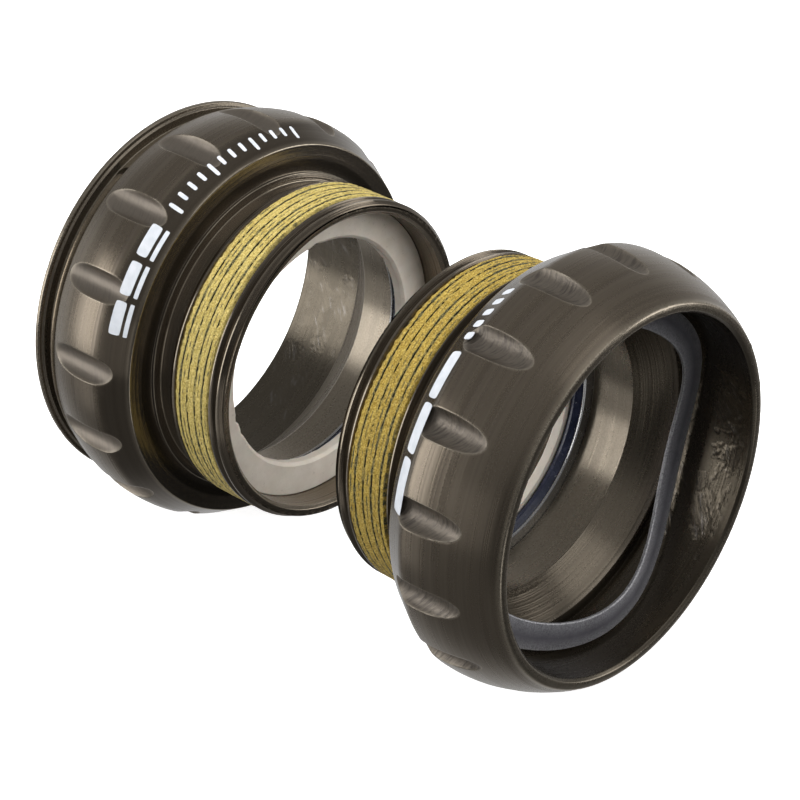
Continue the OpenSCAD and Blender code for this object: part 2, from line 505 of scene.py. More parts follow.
def cup(name, side, shape, end_corners, material):
    """A whole cup: end, bore, nose, thread, undercut, seating face and notched band."""
    patches = Patches()
    start = notched_band(patches, side, shape)
    depths = np.linspace(NOTCH_SPAN_END, shape["band_end"] - 0.3, 6)
    band = [(float(crown_radius(shape, d)), float(d), 0) for d in depths]
    inside = rounded(band + end_corners + bore_corners())
    nicks = rim_nicks(shape, inside, start)
    rows = turned_rows(side, inside[:, 0:1] + nicks, inside[:, 1:2], start)
    # The last 2.5 mm of the nose is smoother, and darker as a painted dark reflection
    nose_polish = np.clip(1 - inside[:, 1:2] / 2.5, 0, 1)
    patches.grid(rows, worn=inside[:, 2:3], polish=nose_polish)

    helix, per_turn, crest = thread_rows(side, start)
    patches.grid(np.concatenate([rows[-1:], helix[:1]]))
    soiled = under_coat(helix_depth(side, helix))
    # Bare crests outside the coating are lightened: partly wear, partly painted sheen
    worn_crest = crest * 0.5 * (1 - soiled)
    patches.grid(helix, wrap=per_turn, worn=worn_crest, soiled=soiled, polish=1.0)

    cone = [(float(crown_radius(shape, d)), d, 0) for d in (10.7, NOTCH_SPAN_START)]
    back = rounded(back_corners() + cone)
    back_rows = turned_rows(side, back[:, 0:1], back[:, 1:2], start)
    worn = np.concatenate([[[0]], back[:, 2:3]])
    patches.grid(np.concatenate([helix[-1:], back_rows]), worn=worn, polish=1.0)
    return patches.build(name, material)


def under_coat(depth):
    """1 on the part of the thread that the coating covers, fading near its two borders."""
    margin, fade = 0.3, 0.2
    rise = np.clip((depth - COAT_START - margin) / fade, 0, 1)
    fall = np.clip((COAT_END - margin - depth) / fade, 0, 1)
    return rise * fall


def rim_nicks(shape, outline, start):
    """Small dents and burrs on the outboard rim, from the shape's nicks."""
    turn = np.degrees(angles(start=start))[None, :]
    at_rim = bell(outline[:, 1:2], shape["rim_depth"], 0.22)
    dents = np.zeros((1, COLUMNS))
    for angle, height, width in shape["nicks"]:
        off = np.mod(turn - angle + 180, 360) - 180
        dents = dents + height * bell(off, 0, width)
    return at_rim * dents


# The band's crown is BODY_R high at the depth called peak, and lower by fall times the square of
# the distance from it. phase is the angle of one notch. Each of the nicks has an angle and a half
# width in degrees, with its height between them.
DRIVE_SHAPE = {
    "fall": 0.04,
    "peak": 15.6,
    "phase": math.radians(15.3),
    "band_end": DRIVE_BAND_END,
    "rim_depth": 23.9,
    "nicks": [(62, -0.05, 1.2), (118, -0.04, 0.8), (201, -0.06, 1.0)],
}
LEFT_SHAPE = {
    "fall": 0.0357,
    "peak": 14.5,
    "phase": math.radians(10.7),
    "band_end": LEFT_BAND_END,
    "rim_depth": 23.2,
    "nicks": [(352, -0.1, 1.0), (341, -0.06, 0.8), (300, 0.09, 0.7), (284, 0.06, 0.9), (60, -0.05, 1.2)],
}


def drive_end_corners(length):
    """Corners of the clip's groove, the flange and the mouth of the bearing seat."""
    return [
        (20.85, DRIVE_BAND_END, 0.06),
        (GROOVE_R, DRIVE_BAND_END, 0.1),
        (GROOVE_R, GROOVE_END, 0.12),
        (20.62, GROOVE_END, 0.1),
        (20.78, 23.3, 0.05),
        (21.1, 23.34, 0.08),
        (FLANGE_R, 23.46, 0.05),
        (FLANGE_R, length, 0.14),
        (SEAT_R + 0.35, length, 0.12),
        (SEAT_R, length - 0.35, 0.12),
    ]


def left_end_corners(length):
    """Corners of the rounded rim and the mouth of the bearing seat."""
    return [
        (19.86, LEFT_BAND_END, 0),
        (19.6, length - 0.04, 0.36),
        (19.2, length, 0.3),
        (SEAT_R + 0.3, length, 0.22),
        (SEAT_R, length - 0.3, 0.2),
    ]


def drill(piece, side, angle, shade_material):
    """A radial hole for the clip through the cup's wall, with its own near-black material inside as
    painted shade.
    """
    radius, length = CLIP_HOLE_R * MM, CLIP_CUTTER_LENGTH * MM
    bpy.ops.mesh.primitive_cylinder_add(vertices=40, radius=radius, depth=length)
    cutter = bpy.context.object
    cutter.data.materials.append(shade_material)
    cutter.location = Vector(side.place(math.radians(angle), CLIP_WALL_R, CLIP_HOLE_DEPTH))
    cutter.rotation_euler = (0, math.radians(angle), 0)
    bpy.context.view_layer.update()
    cut = piece.modifiers.new("clip_hole", "BOOLEAN")
    cut.operation = "DIFFERENCE"
    cut.solver = "MANIFOLD"
    cut.object = cutter
    bpy.context.view_layer.objects.active = piece
    bpy.ops.object.modifier_move_to_index(modifier=cut.name, index=0)
    bpy.ops.object.modifier_apply(modifier=cut.name)
    bpy.data.objects.remove(cutter)


# ---------------------------------------------------------------- coating


def smooth_noise(rng, rows, cols, blur):
    """Random grain that joins up round the columns, blurred a number of times, with a spread of 1."""
    grain = rng.normal(size=(rows, cols))
    for _ in range(blur):
        grain = (grain + np.roll(grain, 1, 1) + np.roll(grain, -1, 1)) / 3
        padded = np.pad(grain, ((1, 1), (0, 0)), mode="edge")
        grain = (padded[:-2] + padded[1:-1] + padded[2:]) / 3
    return grain / grain.std()


def thread_coat(name, side, start, seed, material):
    """Dried granular compound over the middle turns: the dark crests of the thread show through it, and
    its thread roots get painted shade lines.
    """
    rng = np.random.default_rng(seed)
    turn = angles(COAT_COLUMNS, start)[None, :]
    share = np.linspace(0, 1, COAT_ROWS)[:, None]
    ragged = smooth_noise(rng, 2, COAT_COLUMNS, 2) * 0.03
    low = COAT_START + 0.1 + ragged[0][None, :]
    high = COAT_END - 0.1 + ragged[1][None, :]
    depth = low + (high - low) * share
    round_share = (np.arange(COAT_COLUMNS) / COAT_COLUMNS)[None, :]
    phase = np.mod(depth / PITCH - round_share, 1.0)
    crest = bell(phase, 0.5, 0.13)
    root = bell(phase, 0.02, 0.05) + bell(phase, 1.02, 0.05)
    fine = smooth_noise(rng, COAT_ROWS, COAT_COLUMNS, 1)
    clumps = smooth_noise(rng, COAT_ROWS, COAT_COLUMNS, 5)
    radius = THREAD_R + 0.012 + 0.02 * fine
    radius = radius - 0.028 * crest * (1 + 0.9 * clumps) - 0.03 * root
    ends = np.minimum(1, np.minimum(share, 1 - share) / 0.02)
    radius = COAT_EDGE_R + (np.minimum(radius, COAT_MOST_R) - COAT_EDGE_R) * ends
    outer = side.place(turn, radius, depth)
    inner = side.place(turn, COAT_UNDERSIDE_R, depth[[-1, 0]])
    # Dark line mark: bare crests showing through, and painted shade along the roots
    line = np.clip(crest * (0.8 - 0.4 * clumps) + 0.6 * root * (0.9 + clumps), 0, 1)
    patches = Patches()
    patches.grid(outer, line=line)
    patches.grid(np.concatenate([outer[-1:], inner, outer[:1]]))
    return patches.build(name, material, crease=80)


# ---------------------------------------------------------------- seals, washer and clip


def seal_ring(name, side, material):
    """Plastic ring in the nose, with a chamfer and small burrs round its inner edge."""
    corners = [
        (14.2, SEAL_FRONT, 0),
        (NOSE_BORE_R, SEAL_FRONT, 0.05),
        (NOSE_BORE_R, RING_FRONT, 0.12),
        (RING_INNER_R + 0.35, RING_FRONT, 0.1),
        (RING_INNER_R, RING_FRONT + 0.3, 0.1),
        (RING_INNER_R, SEAL_FRONT, 0.05),
    ]
    return turned_piece(name, side, corners, material, burr=0.12)


def axle_seal(name, side, material):
    """Rubber ring with a lip round its inner edge."""
    corners = [
        (14.4, STEEL_FRONT, 0),
        (NOSE_BORE_R, STEEL_FRONT, 0.05),
        (NOSE_BORE_R, SEAL_FRONT, 0.05),
        (13.5, SEAL_FRONT, 0.1),
        (SEAL_INNER_R, 4.55, 0.12),
        (SEAL_INNER_R, 5.0, 0.15),
        (13.25, 5.35, 0.12),
        (13.45, STEEL_FRONT, 0.08),
    ]
    return turned_piece(name, side, corners, material)


def seal_washer(name, side, material):
    """Thin steel ring between the rubber seal and the shoulder of the bore."""
    corners = [
        (14.6, WAIST_END, 0),
        (NOSE_BORE_R, WAIST_END, 0.04),
        (NOSE_BORE_R, STEEL_FRONT, 0.04),
        (STEEL_INNER_R, STEEL_FRONT, 0.06),
        (STEEL_INNER_R, 5.84, 0.05),
        (13.42, WAIST_END, 0.05),
    ]
    return turned_piece(name, side, corners, material)


def wave_washer(name, side, material):
    """Thin ring bent into waves, a little higher on the side it leans to."""
    section = rounded(
        [
            (WASHER_SEAM_R, WASHER_THICKNESS, 0),
            (WASHER_OUTER_R, WASHER_THICKNESS, WASHER_EDGE),
            (WASHER_OUTER_R, 0, WASHER_EDGE),
            (WASHER_INNER_R, 0, WASHER_EDGE),
            (WASHER_INNER_R, WASHER_THICKNESS, WASHER_EDGE),
            (WASHER_SEAM_R, WASHER_THICKNESS, 0),
        ]
    )
    turn = angles()[None, :]
    wave = WAVE_HEIGHT * np.cos(WAVES * (turn - WAVE_ANGLE))
    height = WASHER_DEPTH - wave + LEAN_HEIGHT * np.cos(turn - LEAN_ANGLE)
    patches = Patches()
    rows = turned_rows(side, section[:, 0:1], height + section[:, 1:2])
    patches.grid(rows, worn=section[:, 2:3])
    return patches.build(name, material)


def clip_path():
    """Centreline of the wire, as (angle in degrees, radius, depth): hole, round the groove, hole."""
    leg = [(0.0, 18.62), (0.0, 19.0), (0.0, 19.4)]
    bend = [(0.15, 19.8), (0.5, 20.1), (1.1, 20.29), (1.9, 20.38)]
    opening = [(CLIP_FIRST + a, r) for a, r in leg + bend]
    arc = [(a, CLIP_R) for a in np.linspace(CLIP_FIRST + CLIP_BEND, CLIP_LAST - CLIP_BEND, 280)]
    closing = [(CLIP_LAST - a, r) for a, r in reversed(leg + bend)]
    return np.array([(a, r, CLIP_DEPTH) for a, r in opening + arc + closing])


def bearing_clip(name, side, material):
    """Round wire bent along clip_path(), with a rounded cap on each end."""
    path = clip_path()
    points = side.place(np.radians(path[:, 0]), path[:, 1], path[:, 2]) / MM
    ahead = np.gradient(points, axis=0)
    ahead /= np.linalg.norm(ahead, axis=1)[:, None]
    spindle = np.array([0.0, 1.0, 0.0])
    across = np.cross(ahead, spindle)
    across /= np.linalg.norm(across, axis=1)[:, None]
    up = np.cross(across, ahead)
    turn = np.arange(CLIP_WIRE_SIDES) * 2 * math.pi / CLIP_WIRE_SIDES
    rings = (
        points[:, None, :]
        + CLIP_WIRE_R * np.cos(turn)[None, :, None] * across[:, None, :]
        + CLIP_WIRE_R * np.sin(turn)[None, :, None] * up[:, None, :]
    )
    cap_width, cap_height = 0.75, 0.1
    first_cap = points[0] + (rings[0] - points[0]) * np.array([[[0.0]], [[cap_width]]])
    last_cap = points[-1] + (rings[-1] - points[-1]) * np.array([[[cap_width]], [[0.0]]])
    first_cap = first_cap - ahead[0] * cap_height
    last_cap = last_cap + ahead[-1] * cap_height
    patches = Patches()
    patches.grid(np.concatenate([first_cap, rings, last_cap]) * MM)
    return patches.build(name, material, crease=50)


# ---------------------------------------------------------------- printed marks


def printed_mark(patches, side, shape, first, last, low, high):
    """A thin film of ink on the cone, with rounded corners, between two angles and two depths."""
    cone_r = 21
    columns = max(3, int(abs(last - first) / 0.8) + 2)
    s = np.linspace(-1, 1, columns)[None, :]
    t = np.linspace(-1, 1, 7)[:, None]
    half_turn, half_depth = math.radians(last - first) / 2, (high - low) / 2
    pull = 1 - 0.18 * (t**4) * min(1.0, half_depth / (cone_r * abs(half_turn)))
    squeeze = 1 - 0.1 * s**8
    turn = math.radians((first + last) / 2) + s * half_turn * pull
    depth = (low + high) / 2 + t * half_depth * squeeze
    surface = crown_radius(shape, depth)
    top = side.place(turn, surface + INK_HEIGHT, depth)
    under = side.place(turn, surface - INK_UNDERSIDE, depth)
    patches.grid(top, wrap=None)
    patches.grid(under, wrap=None)
    for edge in (np.s_[0], np.s_[-1], np.s_[:, 0], np.s_[:, -1]):
        patches.grid(np.stack([top[edge], under[edge]]), wrap=None)


def drive_marks(name, side, material):
    """Plain graduation ticks, then three plain blocks, in the place of printing."""
    patches = Patches()
    for k in range(13):
        low = 11.0 if k % 4 == 0 else 11.45
        shift = 3.9 * k
        printed_mark(patches, side, DRIVE_SHAPE, -14.5 + shift, -13.3 + shift, low, 12.5)
    for k in range(3):
        first = 39.5 + 11.2 * k
        for low, high in ((10.9, 11.3), (11.6, 12.65)):
            printed_mark(patches, side, DRIVE_SHAPE, first, first + 9.4, low, high)
    return patches.build(name, material)


def left_marks(name, side, material):
    """A plain broken stripe and a few ticks, in the place of printing."""
    patches = Patches()
    for first, last in ((37.5, 50.5), (51.8, 64.8), (66.1, 80.5)):
        printed_mark(patches, side, LEFT_SHAPE, first, last, 11.1, 12.75)
    for k in range(5):
        shift = 3.9 * k
        printed_mark(patches, side, LEFT_SHAPE, 16.0 + shift, 18.2 + shift, 11.3, 12.6)
    return patches.build(name, material)


# ---------------------------------------------------------------- materials

# Anodised aluminium
BRONZE_LOW = (0.160, 0.131, 0.098, 1)
BRONZE_HIGH = (0.202, 0.170, 0.130, 1)
TURNED_DARK = (0.130, 0.106, 0.086, 1)
TURNED_LIGHT = (0.25, 0.215, 0.18, 1)
MILLED_LIGHT = (0.265, 0.232, 0.195, 1)
MILLED_DARK = (0.1, 0.088, 0.078, 1)
# Pale bronze on fillets, notch lips and bare crests: partly rubbed wear, partly a painted edge highlight
EDGE_WEAR_AND_SHEEN_BRONZE = (0.50, 0.44, 0.35, 1)
# Near black for the smoother nose end: a painted dark reflection
POLISH_PAINTED_DARK = (0.045, 0.036, 0.027, 1)
COATED_THREAD = (0.018, 0.022, 0.016, 1)
# Darker bearing seat inside the bore: painted shade
SEAT_PAINTED_SHADE = (0.040, 0.033, 0.022, 1)
GREASE = (0.17, 0.155, 0.14, 1)
# Lighter inner cone with dark turned bands: painted highlight and painted dark reflection bands
WAIST_PAINTED_HIGHLIGHT = (0.27, 0.225, 0.17, 1)
WAIST_PAINTED_DARK_BANDS = (0.055, 0.047, 0.036, 1)

# Coating: pale grains, light and deep ground
DRIVE_COAT = ((0.78, 0.66, 0.28, 1), (0.58, 0.455, 0.135, 1), (0.46, 0.345, 0.08, 1))
# The same yellow compound on the left cup, painted darker as shade
LEFT_COAT_SHADED = ((0.62, 0.47, 0.13, 1), (0.43, 0.295, 0.047, 1), (0.31, 0.20, 0.022, 1))
GRAIN_SHADOW = (0.15, 0.105, 0.02, 1)
DARK_SPECK = (0.03, 0.03, 0.015, 1)
# Crest colours, also laid along the thread roots as painted shade
SMEARED_CREST_AND_ROOT_SHADE = (0.17, 0.145, 0.06, 1)
BARE_CREST_AND_ROOT_SHADE = (0.035, 0.042, 0.026, 1)

# The rest: two shades of the ground, then what lies on it
# Inside of the clip holes: painted shade
HOLE_SHADE_BLACKS = ((0.004, 0.004, 0.003, 1), (0.012, 0.010, 0.008, 1))
CREAM = ((0.60, 0.54, 0.46, 1), (0.70, 0.64, 0.56, 1))
CREAM_DUST = (0.30, 0.25, 0.20, 1)
RUBBER = ((0.010, 0.013, 0.030, 1), (0.022, 0.027, 0.055, 1))
RUBBER_DUST = (0.30, 0.32, 0.36, 1)
BRIGHT_STEEL = ((0.50, 0.50, 0.50, 1), (0.62, 0.62, 0.61, 1))
BLUED_STEEL = ((0.082, 0.080, 0.092, 1), (0.115, 0.112, 0.127, 1))
BRONZED_STEEL = ((0.17, 0.135, 0.095, 1), (0.24, 0.195, 0.14, 1))
# Pale steel on edges: partly rubbed wear, partly a painted edge highlight
STEEL_EDGE_WEAR_AND_SHEEN = (0.46, 0.46, 0.47, 1)
STEEL_FLECK = (0.5, 0.5, 0.5, 1)
INK = ((0.50, 0.53, 0.57, 1), (0.60, 0.62, 0.66, 1))
INK_CHIP = (0.12, 0.11, 0.10, 1)
FLOOR_PALE = (0.9, 0.9, 0.9, 1)
FLOOR_GLOW = (1, 1, 1, 1)


class Nodes:
    """Short calls for building the node tree of a material or of the world."""

    def __init__(self, owner):
        owner.use_nodes = True
        self.owner = owner
        self.tree = owner.node_tree
        self.shader = self.tree.nodes.get("Principled BSDF")

    def add(self, kind, given=None, **settings):
        """A new node. given holds a socket, number or colour for each of its inputs to be fed."""
        node = self.tree.nodes.new("ShaderNode" + kind)
        for key, value in settings.items():
            setattr(node, key, value)
        for key, value in (given or {}).items():
            self.feed(node, key, value)
        return node

    def feed(self, node, key, value):
        if isinstance(value, bpy.types.NodeSocket):
            self.tree.links.new(value, node.inputs[key])
        else:
            node.inputs[key].default_value = value

    def set(self, **values):
        """Feed the shader's inputs; an underline stands for a space in their names."""
        for key, value in values.items():
            self.feed(self.shader, key.replace("_", " "), value)

    def math(self, operation, a, b=0.0):
        return self.add("Math", {0: a, 1: b}, operation=operation).outputs[0]

    def plus(self, total, *others):
        for value in others:
            total = self.math("ADD", total, value)
        return total

    def times(self, product, *others):
        for value in others:
            product = self.math("MULTIPLY", product, value)
        return product

    def mapped(self, value, low, high, to_low=0.0, to_high=1.0, curve="LINEAR"):
        given = {0: value, 1: low, 2: high, 3: to_low, 4: to_high}
        return self.add("MapRange", given, interpolation_type=curve).outputs[0]

    def between(self, value, start, full_from, full_to, end):
        """1 from full_from to full_to, fading to 0 at start and at end."""
        return self.times(self.mapped(value, start, full_from), self.mapped(value, end, full_to))

    def mix(self, factor, a, b):
        return self.add("Mix", {0: factor, 6: a, 7: b}, data_type="RGBA").outputs[2]

    def noise(self, vector, scale, detail, rough, distortion=0.0):
        given = {"Vector": vector, "Scale": scale, "Detail": detail, "Roughness": rough}
        given["Distortion"] = distortion
        return self.add("TexNoise", given).outputs["Fac"]

    def mark(self, name):
        """One of the marks given to the mesh's points."""
        return self.add("Attribute", attribute_name=name).outputs["Fac"]

    def vector(self, x, y, z=0.0):
        return self.add("CombineXYZ", {0: x, 1: y, 2: z}).outputs[0]

    def position(self):
        """Object position in millimetres."""
        given = {0: self.add("TexCoord").outputs["Object"], "Scale": 1 / MM}
        return self.add("VectorMath", given, operation="SCALE").outputs[0]

    def turned(self, spot):
        """A position as radius, length along the spindle and angle."""
        x, y, z = self.add("SeparateXYZ", {0: spot}).outputs
        radius = self.math("SQRT", self.plus(self.times(x, x), self.times(z, z)))
        return radius, y, self.math("ARCTAN2", x, z)

    def bump(self, height, distance, below=None):
        """Bumps of a size in millimetres, on top of those below."""
        node = self.add("Bump", {"Height": height, "Distance": distance * MM})
        if below is not None:
            self.feed(node, "Normal", below)
        return node.outputs[0]

    def brushed(self, amount):
        """Stretch highlights across fine lines that run round the spindle."""
        tangent = self.add("Tangent", direction_type="RADIAL", axis="Y").outputs[0]
        self.set(Tangent=tangent, Anisotropic=amount, Anisotropic_Rotation=0.25)


def new_material(name):
    return Nodes(bpy.data.materials.new(name))


def milling_noise(n):
    """Arcs that the disc cutter leaves across each notch."""
    mill_x, mill_y = n.mark("mill_x"), n.mark("mill_y")
    cut_line = n.plus(mill_y, n.times(mill_x, mill_x, 0.22), n.times(mill_x, 0.35))
    return n.noise(n.vector(cut_line, n.times(mill_x, 0.16)), 3.6, 3.0, 0.6)


def smear_noise(n, along, angle):
    """Streaks wiped at a slant across the bearing seat."""
    across = n.plus(n.times(angle, 12.0), n.times(along, 0.9))
    down = n.plus(n.times(along, 0.16), n.times(angle, -1.6))
    return n.noise(n.vector(across, down), 2.4, 4.0, 0.6, 0.9)


def grease_mask(n, spot, radius, along, angle, start, end, sector):
    """Patchy mask on the bearing seat between two places along the axis, in a sector of angles."""
    first, last = (math.radians(a) for a in sector)
    on_seat = n.between(radius, SEAT_R - 0.5, SEAT_R - 0.2, SEAT_R + 0.1, SEAT_R + 0.3)
    in_length = n.between(along, start, start + 1.5, end - 1.5, end)
    in_turn = n.between(angle, first, first + 0.25, last - 0.25, last)
    patch = n.mapped(n.noise(spot, 0.3, 3.0, 0.6), 0.47, 0.6)
    return n.times(on_seat, in_length, in_turn, patch)


def anodised_material(name, grease_from, grease_to, grease_angles, smear_height, mill_height):
    """Dark bronze hard-anodised aluminium with turning lines, milled notches and smears of grease."""
    n = new_material(name)
    spot = n.position()
    radius, along, angle = n.turned(spot)
    turning = n.vector(radius, along)
    lines = n.noise(turning, 5.0, 2.0, 0.55)
    bands = n.noise(turning, 2.1, 2.0, 0.5)
    drift = n.noise(n.vector(radius, along, n.times(angle, 0.8)), 0.9, 3.0, 0.6)
    fleck = n.noise(spot, 5.0, 4.0, 0.7)
    mill = milling_noise(n)
    smear = smear_noise(n, along, angle)
    notch, worn, polish, soiled = (n.mark(word) for word in ("notch", "worn", "polish", "soiled"))
    milled = n.times(notch, n.mapped(mill, 0.48, 0.66), 6.0 * mill_height)
    # Marked edges go pale bronze: partly rubbed wear, partly a painted edge highlight
    wear_and_sheen_share = n.times(worn, n.mapped(fleck, 0.35, 0.65, 0.3, 0.8))
    # The smoother nose end is darkened, a painted dark reflection, except on marked edges
    polish_shade = n.times(polish, n.plus(0.5, n.times(worn, -0.6)))
    on_seat = n.between(radius, LEDGE_R, SEAT_R - 0.4, SEAT_R + 0.2, SEAT_R + 0.4)
    waist = n.between(radius, WAIST_R, WAIST_R + 0.3, LEDGE_R - 0.4, LEDGE_R)
    grease = grease_mask(n, spot, radius, along, angle, grease_from, grease_to, grease_angles)

    base = n.mix(n.mapped(drift, 0.3, 0.7), BRONZE_LOW, BRONZE_HIGH)
    base = n.mix(n.mapped(bands, 0.4, 0.7, 0.0, 0.35), base, TURNED_DARK)
    base = n.mix(n.mapped(lines, 0.55, 0.8, 0.0, 0.3), base, TURNED_LIGHT)
    base = n.mix(n.times(notch, 0.8), base, MILLED_LIGHT)
    base = n.mix(milled, base, MILLED_DARK)
    base = n.mix(wear_and_sheen_share, base, EDGE_WEAR_AND_SHEEN_BRONZE)
    base = n.mix(polish_shade, base, POLISH_PAINTED_DARK)
    base = n.mix(soiled, base, COATED_THREAD)
    # The bearing seat deep in the bore is darkened: painted shade
    base = n.mix(n.times(on_seat, 0.72), base, SEAT_PAINTED_SHADE)
    base = n.mix(n.times(grease, n.mapped(smear, 0.54, 0.66)), base, GREASE)
    # The inner cone is lightened as a painted highlight, then darkened in bands as a painted dark
    # reflection
    base = n.mix(n.times(waist, 0.5), base, WAIST_PAINTED_HIGHLIGHT)
    base = n.mix(n.times(waist, n.mapped(bands, 0.40, 0.35, 0.0, 0.55)), base, WAIST_PAINTED_DARK_BANDS)

    rough = n.plus(n.mapped(drift, 0.3, 0.7, 0.24, 0.32), n.mapped(fleck, 0.3, 0.7, -0.015, 0.02))
    rough = n.plus(rough, n.times(notch, 0.22), n.times(polish, -0.09), n.times(grease, -0.10))
    rough = n.plus(rough, n.times(soiled, 0.35))
    plain = n.plus(1.0, n.times(notch, -1.0))
    fine = n.bump(n.times(lines, plain, n.mapped(waist, 0.0, 1.0, 1.0, 2.2)), 0.022)
    fine = n.bump(n.times(mill, notch), mill_height, below=fine)
    fine = n.bump(n.times(smear, grease), smear_height, below=fine)
    n.set(Base_Color=base, Roughness=rough, Metallic=0.93, Normal=fine)
    n.set(Coat_Weight=0.08, Coat_Roughness=0.25)
    n.brushed(0.45)
    return n.owner


def coating_material(name, colours, graininess):
    """Yellow dried compound: granular and matte, with dark lines where the crests rub through and
    painted shade lines along the thread roots.
    """
    pale, light, deep = colours
    n = new_material(name)
    spot = n.position()
    _, along, angle = n.turned(spot)
    grains = n.noise(spot, 6.5, 3.0, 0.8)
    clumps = n.noise(spot, 1.1, 3.0, 0.6)
    specks = n.noise(spot, 8.0, 3.0, 0.6)
    drawn_out = n.noise(n.vector(along, n.times(angle, 3.0)), 0.8, 2.0, 0.5)
    patchy = n.mapped(drawn_out, 0.38, 0.56, 0.2, 1.0)
    line = n.mark("line")
    smear_and_root_shade = n.times(n.mapped(line, 0.03, 0.4, 0.0, 0.6), patchy)
    bare_and_root_shade = n.times(n.mapped(line, 0.15, 0.5), n.mapped(specks, 0.62, 0.49), patchy)
    base = n.mix(n.mapped(clumps, 0.35, 0.65), deep, light)
    base = n.mix(n.mapped(grains, 0.51, 0.58, 0.0, graininess), base, pale)
    base = n.mix(n.mapped(grains, 0.49, 0.40, 0.0, graininess), base, GRAIN_SHADOW)
    base = n.mix(n.mapped(specks, 0.36, 0.30, 0.0, 0.8), base, DARK_SPECK)
    # Dark lines on crests are bare metal; along the roots they are painted shade
    base = n.mix(smear_and_root_shade, base, SMEARED_CREST_AND_ROOT_SHADE)
    base = n.mix(bare_and_root_shade, base, BARE_CREST_AND_ROOT_SHADE)
    n.set(Base_Color=base, Roughness=n.mapped(grains, 0.3, 0.7, 0.85, 0.5))
    n.set(Normal=n.bump(grains, 0.16), Specular_IOR_Level=0.35)
    return n.owner


def hole_shade_material(name):
    """Drilled wall of a small deep hole, painted near black as the shade inside it."""
    n = new_material(name)
    mottle = n.noise(n.position(), 3.0, 3.0, 0.6)
    base = n.mix(n.mapped(mottle, 0.35, 0.65), *HOLE_SHADE_BLACKS)
    n.set(Base_Color=base, Roughness=n.mapped(mottle, 0.3, 0.7, 0.6, 0.8), Specular_IOR_Level=0.2)
    return n.owner


def cream_material(name):
    """Moulded cream plastic, slightly cloudy, with fine dust."""
    n = new_material(name)
    spot = n.position()
    cloud = n.noise(spot, 0.5, 4.0, 0.6)
    grain = n.noise(spot, 14.0, 2.0, 0.6)
    dust = n.noise(spot, 3.0, 2.0, 0.5)
    base = n.mix(n.mapped(cloud, 0.3, 0.7), *CREAM)
    base = n.mix(n.mapped(dust, 0.66, 0.76, 0.0, 0.35), base, CREAM_DUST)
    n.set(Base_Color=base, Roughness=n.mapped(grain, 0.3, 0.7, 0.38, 0.52), Normal=n.bump(grain, 0.01))
    n.set(Subsurface_Weight=0.12, Subsurface_Scale=0.0006)
    return n.owner


def rubber_material(name):
    """Glossy blue-black seal rubber, with a film of grease and specks of dust."""
    n = new_material(name)
    spot = n.position()
    dust = n.noise(spot, 3.6, 3.0, 0.6)
    film = n.noise(spot, 0.7, 3.0, 0.5)
    base = n.mix(n.mapped(film, 0.35, 0.65), *RUBBER)
    base = n.mix(n.mapped(dust, 0.68, 0.76, 0.0, 0.8), base, RUBBER_DUST)
    n.set(Base_Color=base, Roughness=n.mapped(film, 0.3, 0.7, 0.16, 0.3), Normal=n.bump(dust, 0.03))
    n.set(Coat_Weight=0.4, Coat_Roughness=0.1)
    return n.owner


def steel_material(name, colours, rough, metal=0.95):
    """Stamped or drawn steel with fine lines round the axis and lightened edges: partly rubbed wear,
    partly a painted edge highlight.
    """
    n = new_material(name)
    spot = n.position()
    radius, along, _ = n.turned(spot)
    lines = n.noise(n.vector(radius, along), 14.0, 3.0, 0.6)
    cloud = n.noise(spot, 0.8, 4.0, 0.65)
    fleck = n.noise(spot, 6.0, 3.0, 0.6)
    # Marked edges go pale: partly rubbed wear, partly a painted edge highlight
    wear_and_sheen_share = n.times(n.mark("worn"), n.mapped(fleck, 0.35, 0.6, 0.2, 0.9))
    base = n.mix(n.mapped(cloud, 0.3, 0.7), *colours)
    base = n.mix(wear_and_sheen_share, base, STEEL_EDGE_WEAR_AND_SHEEN)
    base = n.mix(n.mapped(fleck, 0.7, 0.78, 0.0, 0.5), base, STEEL_FLECK)
    n.set(Base_Color=base, Roughness=n.mapped(cloud, 0.3, 0.7, rough - 0.04, rough + 0.06))
    n.set(Normal=n.bump(lines, 0.008), Metallic=metal)
    n.brushed(0.3)
    return n.owner


def ink_material(name):
    """White ink, chipped in places down to the metal."""
    n = new_material(name)
    spot = n.position()
    chips = n.noise(spot, 5.0, 4.0, 0.7)
    shade = n.noise(spot, 1.0, 2.0, 0.5)
    base = n.mix(n.mapped(shade, 0.3, 0.7), *INK)
    base = n.mix(n.mapped(chips, 0.68, 0.74, 0.0, 0.8), base, INK_CHIP)
    n.set(Base_Color=base, Roughness=n.mapped(chips, 0.3, 0.7, 0.42, 0.58), Normal=n.bump(chips, 0.01))
    return n.owner


# ---------------------------------------------------------------- camera, floor and light

CAMERA_AZIMUTH = 133.06
CAMERA_ELEVATION = 30.19
CAMERA_DISTANCE = 258.8
CAMERA_TARGET = (-0.68, 15.0, -1.86)
CAMERA_LENS = 114.1
CAMERA_SENSOR = 36
LIGHT_DISTANCE = 0.6
FLOOR_HALF = 3.0
FLOOR_GAP = 0.0005


def camera_axes():
    """Unit vectors from the target: towards the camera, to its right and up."""
    a, e = math.radians(CAMERA_AZIMUTH), math.radians(CAMERA_ELEVATION)
    back = Vector((math.sin(a) * math.cos(e), -math.cos(a) * math.cos(e), math.sin(e)))
    right = Vector((math.cos(a), math.sin(a), 0))
    return back, right, back.cross(right)


